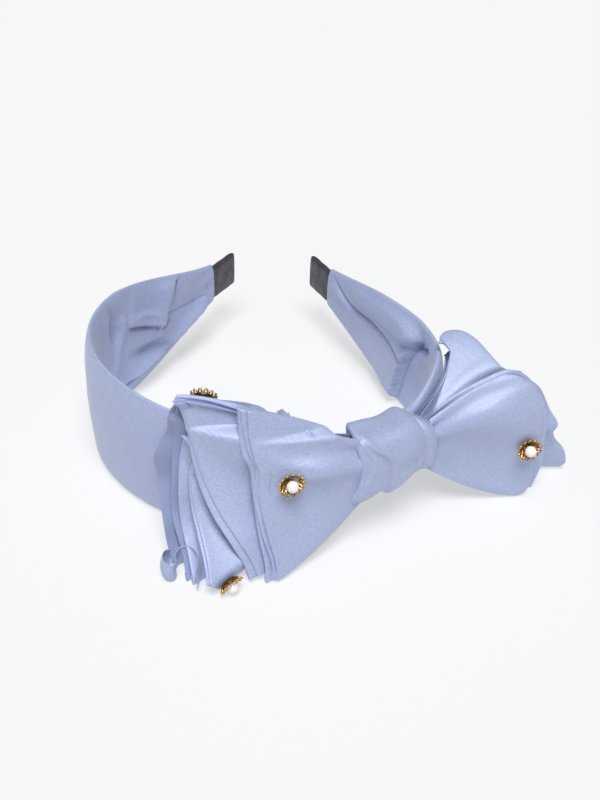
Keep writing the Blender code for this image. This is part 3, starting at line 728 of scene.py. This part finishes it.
def fan(name, side, along, down):
    """Points of a piece of the bow, from the knot (along 0) to its free edge (along 1)."""
    order = list(FLAPS).index(name)
    end = "right" if side == "right" else "left"
    way = -1 if end == "left" else 1
    throat = throat_points(order, KNOT_PLACE + way * THROAT_HALF_LENGTH + 0 * down, down, end)
    rim = through(FLAPS[name][side], down)
    part = along[..., None]
    point = throat + (rim - throat) * part
    point = point - hoop(KNOT_PLACE)[2] * (FLAP_BOWS[order] * 4 * part * (1 - part))
    top, bottom = FLAPS[name]["opening"][side]
    closing = np.maximum(1 - along, 0.0) ** blend(top, bottom, down)
    point[..., 2] = rim[..., 2] + (throat[..., 2] - rim[..., 2]) * closing
    point = clear_of_sleeve(point, order)
    count, depth, phase = FLAPS[name]["ripples"][side]
    wave = depth * along ** 3 * np.sin(2 * np.pi * count * down + phase)
    pleats = np.sin(15 * down + 3 * np.sin(4 * down + order) + 2 * along)
    crease = CREASE_DEPTH * (1 - along) ** 2 * pleats
    bulge = bell(down - 0.34 - 0.06 * order, 0.24) - 0.35 * bell(down - 0.84, 0.13)
    bulge = bulge + 0.18 * np.sin(2 * np.pi * (1.7 * down - 0.9 * along) + 0.9 + 1.3 * order)
    swell = (FRONT_FLAP_SWELL if order == 0 else FLAP_SWELL) * np.sin(np.pi * along) ** 0.8 * bulge
    return point + facing(point, end) * (wave + crease + swell * np.sin(np.pi * down))[..., None]


def facing(point, side):
    """Unit normals of a grid of points, towards the bow's front."""
    first = np.gradient(point, axis=0)
    second = np.gradient(point, axis=1)
    normal = np.cross(first, second)
    normal /= np.maximum(np.linalg.norm(normal, axis=-1), 1e-9)[..., None]
    return normal if side == "left" else -normal


def hem_path(radius, width):
    """A hem in section, as (outwards, behind): round the fold, then back under the cloth."""
    turn = np.linspace(0.0, np.pi, HEM_TURN + 1)[1:]
    path = [(radius * math.sin(value), radius * (1 - math.cos(value))) for value in turn]
    path += [(-width * step / HEM_RUN, 2 * radius) for step in range(1, HEM_RUN + 1)]
    return path


def wing(name, side, layer, radius):
    """One layer of one end of a piece: its face, with folded hems along its free edges."""
    columns = WING_COLUMNS
    rows = WING_ROWS
    beyond_top, beyond_bottom, behind = layer
    end = "right" if side == "right" else "left"
    along = np.repeat(np.linspace(0.0, 1.0, columns)[:, None], rows, 1)
    down = np.repeat(np.linspace(0.0, 1.0, rows)[None, :], columns, 0)
    face = fan(name, side, along, down)
    front = facing(face, end)
    ahead = np.gradient(face, axis=0)
    ahead /= np.maximum(np.linalg.norm(ahead, axis=-1), 1e-9)[..., None]
    beyond = blend(beyond_top, beyond_bottom, down) + 0.35 * behind * np.sin(9 * down + 2 * behind)
    face = face + ahead * (beyond * smooth((along - 0.5) / 0.5))[..., None]
    face = face - front * (behind * smooth(along / 0.4))[..., None]
    if behind == 0:
        face = pin_to_studs(face, name, side)

    edge = face[-1]
    hem = [edge + ahead[-1] * out - front[-1] * back for out, back in hem_path(radius, HEM_WIDTH)]
    face = np.concatenate([face, np.stack(hem)])
    front = np.concatenate([front, np.repeat(front[-1:], len(hem), 0)])
    strips = []
    grown = smooth((np.linspace(0.0, 1.0, columns) - 0.12) / 0.5)
    grown = np.concatenate([grown, np.ones(len(hem))])[:, None]
    top = FOLDED_TOP if name in ("front_flap", "middle_flap") else CUT_TOP
    for row, neighbour, turn, run in ((0, 4, *top), (-1, -5, *BOTTOM_HEM)):
        away = face[:, row] - face[:, neighbour]
        away /= np.maximum(np.linalg.norm(away, axis=-1), 1e-9)[..., None]
        strip = [face[:, row] + away * (out * grown) - front[:, row] * (back * grown)
                 for out, back in hem_path(turn, run)]
        strips.append(np.stack(strip, 1))
    made = np.concatenate([strips[0][:, ::-1], face, strips[1]], 1)
    made[..., 2] = lifted(made[..., 2])
    return made


def lifted(height):
    """Heights kept a little above the table."""
    return TABLE_REST + np.logaddexp(0.0, (height - TABLE_REST) / TABLE_EASE) * TABLE_EASE


def scroll_grid():
    """The loose end of the rear piece's hem: a ribbon on its edge, rolled into two loops."""
    path = ((-23.4, -27.0), (-22.8, -21.6), (-24.0, -16.6), (-27.2, -13.4),
            (-30.6, -13.6), (-32.2, -16.6), (-31.6, -20.2), (-32.6, -22.6),
            (-35.2, -22.4), (-37.0, -19.4), (-36.6, -15.8), (-34.4, -14.2))
    along = np.repeat(np.linspace(0.0, 1.0, 90)[:, None], 16, 1)
    up = np.repeat(np.linspace(0.0, 1.0, 16)[None, :], 90, 0)
    plan = through(np.array([(*point, 0.0) for point in path]), along) + np.array([2.6, -4.0, 0.0])
    middle = np.array([-27.4, -22.0, 0.0])
    plan = middle + (plan - middle) * (1 + 0.10 * np.sin(np.pi * up) - 0.06 * up)[..., None]
    plan[..., 2] = 0.9 + up * (9.2 - 1.2 * along + 0.7 * np.sin(9 * along))
    return plan


def add_flap(name):
    """A piece of the bow: both of its ends and its pinched middle, as one object."""
    order = list(FLAPS).index(name)
    sheer = name == "organza_ruffle"
    look = LOOKS["organza"] if sheer else LOOKS["satin"]
    layers = []
    for side, stack in FLAPS[name]["layers"].items():
        for number, layer in enumerate(stack):
            grid = wing(name, side, layer, SHEER_HEM_RADIUS if sheer else HEM_RADIUS)
            grid = grid[::-1] if side == "right" else grid
            layers.append(grid_object(f"{name}_{side}_{number}", grid, look))
    down = np.linspace(0.0, 1.0, 60)[None, :]
    for side, way in (("left", -1), ("right", 1)):
        middle = KNOT_PLACE + way * np.linspace(0.0, THROAT_HALF_LENGTH, 9)[:, None]
        throat = throat_points(order, middle + 0 * down, down + 0 * middle, side)
        layers.append(grid_object(f"{name}_throat_{side}", throat, look))
    if name == "rear_flap":
        layers.append(grid_object(name + "_scroll", scroll_grid(), look))
    made = join(layers, name + "_cloth")
    thicken(made, CLOTH, 0.0)
    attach(made, "crown")
    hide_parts(name)


def join(objects, name):
    with bpy.context.temp_override(active_object=objects[0], object=objects[0],
                                   selected_editable_objects=objects, selected_objects=objects):
        bpy.ops.object.join()
    objects[0].name = name
    objects[0].data.name = name
    return objects[0]


# ---- knot ----

# How the knot's satin is turned in at both ends, from inside: how far in from its surface, and back.
KNOT_HEM = ((2.6, 3.4), (2.3, 1.6), (1.5, 0.35), (0.6, 0.0))


def knot_growth(along, up, out, front):
    """How far the knot's satin stands out from its even surface: pleats, a rolled edge and dents."""
    height = (1 - up) / 2
    first = -0.96 + 0.2 * np.sin(np.pi * np.clip(height * 1.5, 0, 1)) ** 1.2 - 0.02 * height
    second = -0.86 + 0.40 * smooth(height / 0.36) + 0.24 * height
    growth = -0.9 * smooth((first - along) / 0.05 + 0.5) * front
    growth = growth - 0.95 * smooth((second - along) / 0.045 + 0.5) * front
    growth = growth + 0.6 * bell(along - second - 0.08, 0.07) * front
    growth = growth + 0.4 * bell(along - first - 0.07, 0.06) * front
    roll = 0.80 - 0.05 * np.cos(3 * height)
    growth = growth + 1.1 * bell(along - roll, 0.13) * front
    growth = growth - 1.1 * bell(along - roll + 0.20, 0.05) * front
    growth = growth - 0.7 * bell(along - 0.42, 0.05) * bell(height - 0.62, 0.2) * front
    growth = growth + 1.0 * bell(along - 0.1 - 0.3 * height, 0.22) * bell(height - 0.28, 0.22) * front
    growth = growth - 0.7 * bell(along - 0.1, 0.5) * bell(height - 0.56, 0.10) * front
    where = np.stack(np.broadcast_arrays(along * 14, up * 17, out * 9), -1)
    growth = growth + 0.5 * soft_noise(where, 9.0, 4.2)
    return growth + 0.35 * np.sin(9 * along + 1.5) * bell(height - 1.0, 0.12)


def add_knot():
    """The pleated satin strip wound round the bow and the band, narrower at its right end."""
    columns = 90
    ring = 220
    turn = np.linspace(0.0, 2 * np.pi, ring, endpoint=False)[None, :]
    share = np.linspace(-1.0, 1.0, columns)[:, None]
    squareness = np.where(np.sin(turn) > 0, 0.66, 0.36)
    up = np.sign(np.cos(turn)) * np.abs(np.cos(turn)) ** squareness
    out = np.sign(np.sin(turn)) * np.abs(np.sin(turn)) ** squareness
    front = np.clip(np.sin(turn), 0.0, 1.0) ** 0.5
    growth = knot_growth(share + 0 * turn, up, out, front)
    part = (share + 1) / 2
    above = KNOT_LEFT_HALF_HEIGHT - part - 4.3 * smooth((part - 0.72) / 0.28) ** 1.2
    below = KNOT_LEFT_HALF_HEIGHT - 2.0 * part - 3.3 * smooth((part - 0.5) / 0.3)
    middle = blend(*KNOT_MIDDLES, part)
    depth = (KNOT_FRONT - KNOT_BACK) / 2
    centre = (KNOT_FRONT + KNOT_BACK) / 2
    skew = (2.0 * np.clip(up, 0, 1) ** 2 + 4.4 * np.clip(-up, 0, 1) ** 2) * (1 - part) ** 2
    distance = KNOT_PLACE + share * KNOT_HALF_LENGTH * (1 + 0.05 * out) - skew
    turned_in = np.array(KNOT_HEM)
    rows = [0] * len(KNOT_HEM) + list(range(columns)) + [columns - 1] * len(KNOT_HEM)
    inset = np.concatenate([turned_in[:, 0], np.zeros(columns), turned_in[::-1, 0]])[:, None]
    inwards = np.concatenate([turned_in[:, 1], np.zeros(columns), -turned_in[::-1, 1]])[:, None]
    rounding = smooth((np.abs(share) - 0.93) / 0.07) ** 2
    reach = np.where(up > 0, above, below) + growth - rounding
    grid = place(distance[rows] + inwards, centre + ((depth + growth - rounding)[rows] - inset) * out,
                 middle[rows] + (reach[rows] - inset) * up)
    made = grid_object("satin_knot", grid, LOOKS["satin"], ring=True)
    thicken(made, 0.5, 1.0)
    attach(made, "crown")
    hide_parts("knot_wrap")


# ---- studs ----

STUDS = {
    "left_front": ("front_flap", "left"),
    "left_top": ("middle_flap", "left"),
    "left_bottom": ("lower_flap", "left"),
    "right_front": ("front_flap", "right"),
    "right_top": ("middle_flap", "right"),
    "right_bottom": ("lower_flap", "right"),
}
PETALS = 13
PEARL_RADIUS = 2.3
PEARL_HEIGHT = 3.3
ROSETTE_REST = 0.15
ROSETTE_SIDES = 40
PETAL_STEPS = 22
STUD_DRAW = 11.0


def stud_frame(name):
    """The middle of a stud's pearl and the way that it faces, from its CAD pieces, in plan."""
    centres = []
    for part in ("pearl_", "shank_"):
        points = np.array([vertex.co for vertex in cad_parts[part + name].data.vertices])
        centres.append(points.mean(0) / MM - PLAN_ORIGIN)
    axis = centres[0] - centres[1]
    return centres[0], axis / np.linalg.norm(axis)


def pin_to_studs(face, name, side):
    """The cloth drawn to the foot of each stud that is on it."""
    for stud, (held_by, end) in STUDS.items():
        if held_by == name and end == side:
            pearl, axis = stud_frame(stud)
            foot = pearl - axis * (PEARL_HEIGHT + ROSETTE_REST)
            away = np.linalg.norm(np.cross(face - foot, axis), axis=-1)
            near = np.unravel_index(np.argmin(np.linalg.norm(face - foot, axis=-1)), away.shape)
            pull = np.dot(foot - face[near], axis)
            drawn = bell(np.linalg.norm(face - face[near], axis=-1), STUD_DRAW)
            face = face + axis * (pull * drawn)[..., None]
    return face


def rosette_mesh():
    """A stamped flower: looped petals that stand up round the bead, a cup, a hub and its prong."""
    work = bmesh.new()
    lift = math.radians(40)
    for petal in range(PETALS):
        turn = Matrix.Rotation(2 * math.pi * petal / PETALS, 4, "Z")
        loop = []
        for step in range(PETAL_STEPS):
            part = 2 * math.pi * step / PETAL_STEPS
            reach = 3.55 + 1.4 * math.cos(part)
            width = (0.62 + 0.22 * math.cos(part)) * math.sin(part)
            loop.append(Vector((reach, width, 0.35 + (reach - 2.1) * math.tan(lift))))
        add_loop(work, loop, 0.3, turn)
    edge = len(work.faces)
    profile = ((0.3, -1.2), (0.3, 0.0), (2.2, 0.0), (3.4, 0.75), (4.1, 1.45), (4.0, 1.75), (3.2, 1.15),
               (2.0, 0.55), (1.9, 1.0), (0.3, 1.0))
    angles = [2 * math.pi * index / ROSETTE_SIDES for index in range(ROSETTE_SIDES)]
    rings = [[work.verts.new((radius * math.cos(angle), radius * math.sin(angle), rise))
              for angle in angles] for radius, rise in profile]
    for lower, upper in zip(rings, rings[1:]):
        for index in range(ROSETTE_SIDES):
            after = (index + 1) % ROSETTE_SIDES
            work.faces.new((lower[index], lower[after], upper[after], upper[index]))
    work.faces.new(rings[-1])
    work.faces.new(rings[0][::-1])
    # The cup, hub and prong take the dark gold: painted shade for the gap round the bead.
    for number, item in enumerate(work.faces):
        item.material_index = int(number >= edge)
    bmesh.ops.scale(work, vec=(MM, MM, MM), verts=work.verts)
    bmesh.ops.recalc_face_normals(work, faces=work.faces)
    mesh = bpy.data.meshes.new("rosette")
    work.to_mesh(mesh)
    work.free()
    mesh.shade_smooth()
    mesh.materials.append(LOOKS["gold"])
    mesh.materials.append(LOOKS["gold_painted_shade"])
    return mesh


def add_loop(work, loop, radius, turn):
    """A closed wire through a loop of points."""
    sides = 7
    rings = []
    for index, point in enumerate(loop):
        ahead = (loop[(index + 1) % len(loop)] - loop[index - 1]).normalized()
        across = ahead.cross(Vector((0, 0, 1))).normalized()
        upward = across.cross(ahead)
        ring = []
        for side in range(sides):
            angle = 2 * math.pi * side / sides
            offset = across * math.cos(angle) + upward * math.sin(angle)
            ring.append(work.verts.new(turn @ (point + offset * radius)))
        rings.append(ring)
    for index, ring in enumerate(rings):
        following = rings[(index + 1) % len(rings)]
        for side in range(sides):
            after = (side + 1) % sides
            work.faces.new((ring[side], ring[after], following[after], following[side]))


def pearl_mesh():
    work = bmesh.new()
    bmesh.ops.create_uvsphere(work, u_segments=40, v_segments=24, radius=PEARL_RADIUS * MM)
    mesh = bpy.data.meshes.new("pearl")
    work.to_mesh(mesh)
    work.free()
    mesh.shade_smooth()
    mesh.materials.append(LOOKS["pearl"])
    return mesh


def add_studs():
    rosette = rosette_mesh()
    pearl = pearl_mesh()
    for index, name in enumerate(STUDS):
        middle, axis = stud_frame(name)
        turn = Vector(axis).to_track_quat("Z", "Y").to_matrix().to_4x4()
        turn = turn @ Matrix.Rotation(0.4 * index, 4, "Z")
        for kind, mesh, back in (("flower_", rosette, PEARL_HEIGHT), ("bead_", pearl, 0.0)):
            made = add_object(kind + name, mesh)
            made.matrix_world = Matrix.Translation(to_part(middle - axis * back)) @ turn
            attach(made, "crown")
            hidden = ("rosette_" + name, "shank_" + name) if kind == "flower_" else ("pearl_" + name,)
            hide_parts(*hidden)


# ---- what the frame keeps ----

def dress_cad_nodes():
    looks = {"core_": "core", "lining_": "lining", "gathering_": "thread"}
    for node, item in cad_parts.items():
        for start, look in looks.items():
            if node.startswith(start):
                item.data.materials.clear()
                item.data.materials.append(LOOKS[look])


# ---- stage ----

def add_floor():
    look = Look("paper", (0.36, 0.36, 0.365), 0.8)
    look.shader.inputs["Emission Color"].default_value = (1.0, 1.0, 1.0, 1.0)
    look.shader.inputs["Emission Strength"].default_value = 0.53
    bpy.ops.mesh.primitive_plane_add(size=6.0, location=(0.0, 0.0, 0.0))
    floor = bpy.context.object
    floor.name = "floor"
    floor.data.materials.append(look.material)


def add_sun(name, way, width, strength):
    """A wide soft light that shines from a direction."""
    light = bpy.data.lights.new(name, "SUN")
    light.angle = math.radians(width)
    light.energy = strength
    made = add_object(name, light)
    made.rotation_euler = (-Vector(way)).to_track_quat("-Z", "Y").to_euler()


def add_lights():
    world = bpy.data.worlds.new("studio")
    bpy.context.scene.world = world
    world.use_nodes = True
    background = world.node_tree.nodes["Background"]
    background.inputs["Color"].default_value = (0.98, 0.98, 1.0, 1.0)
    background.inputs["Strength"].default_value = 0.14
    add_sun("key", (0.0, -0.36, 1.0), 30, 3.2)
    bpy.context.scene.view_settings.view_transform = "Standard"


def add_camera():
    """The photograph's view: from above the bow, rolled a little."""
    elevation = math.radians(38.3)
    azimuth = math.radians(-0.5)
    roll = math.radians(2.4)
    distance = 465.0
    target = np.array([15.2, 55.6, 24.0])
    back = np.array([math.sin(azimuth) * math.cos(elevation), -math.cos(azimuth) * math.cos(elevation),
                     math.sin(elevation)])
    right = np.array([math.cos(azimuth), math.sin(azimuth), 0.0])
    upward = np.cross(back, right)
    rolled = right * math.cos(roll) + upward * math.sin(roll)
    above = upward * math.cos(roll) - right * math.sin(roll)
    matrix = Matrix((rolled, above, back)).transposed().to_4x4()
    matrix.translation = Vector(to_part(target + back * distance))
    camera = add_object("camera", bpy.data.cameras.new("camera"))
    camera.matrix_world = matrix
    camera.data.lens = 50.0
    camera.data.sensor_width = 36.0
    camera.data.clip_start = 0.01
    bpy.context.scene.camera = camera


add_camera()
add_lights()
add_floor()
dress_cad_nodes()
for side in ("left", "right"):
    add_sleeve(side)
    add_tip(side)
for name in FLAPS:
    add_flap(name)
add_knot()
add_studs()
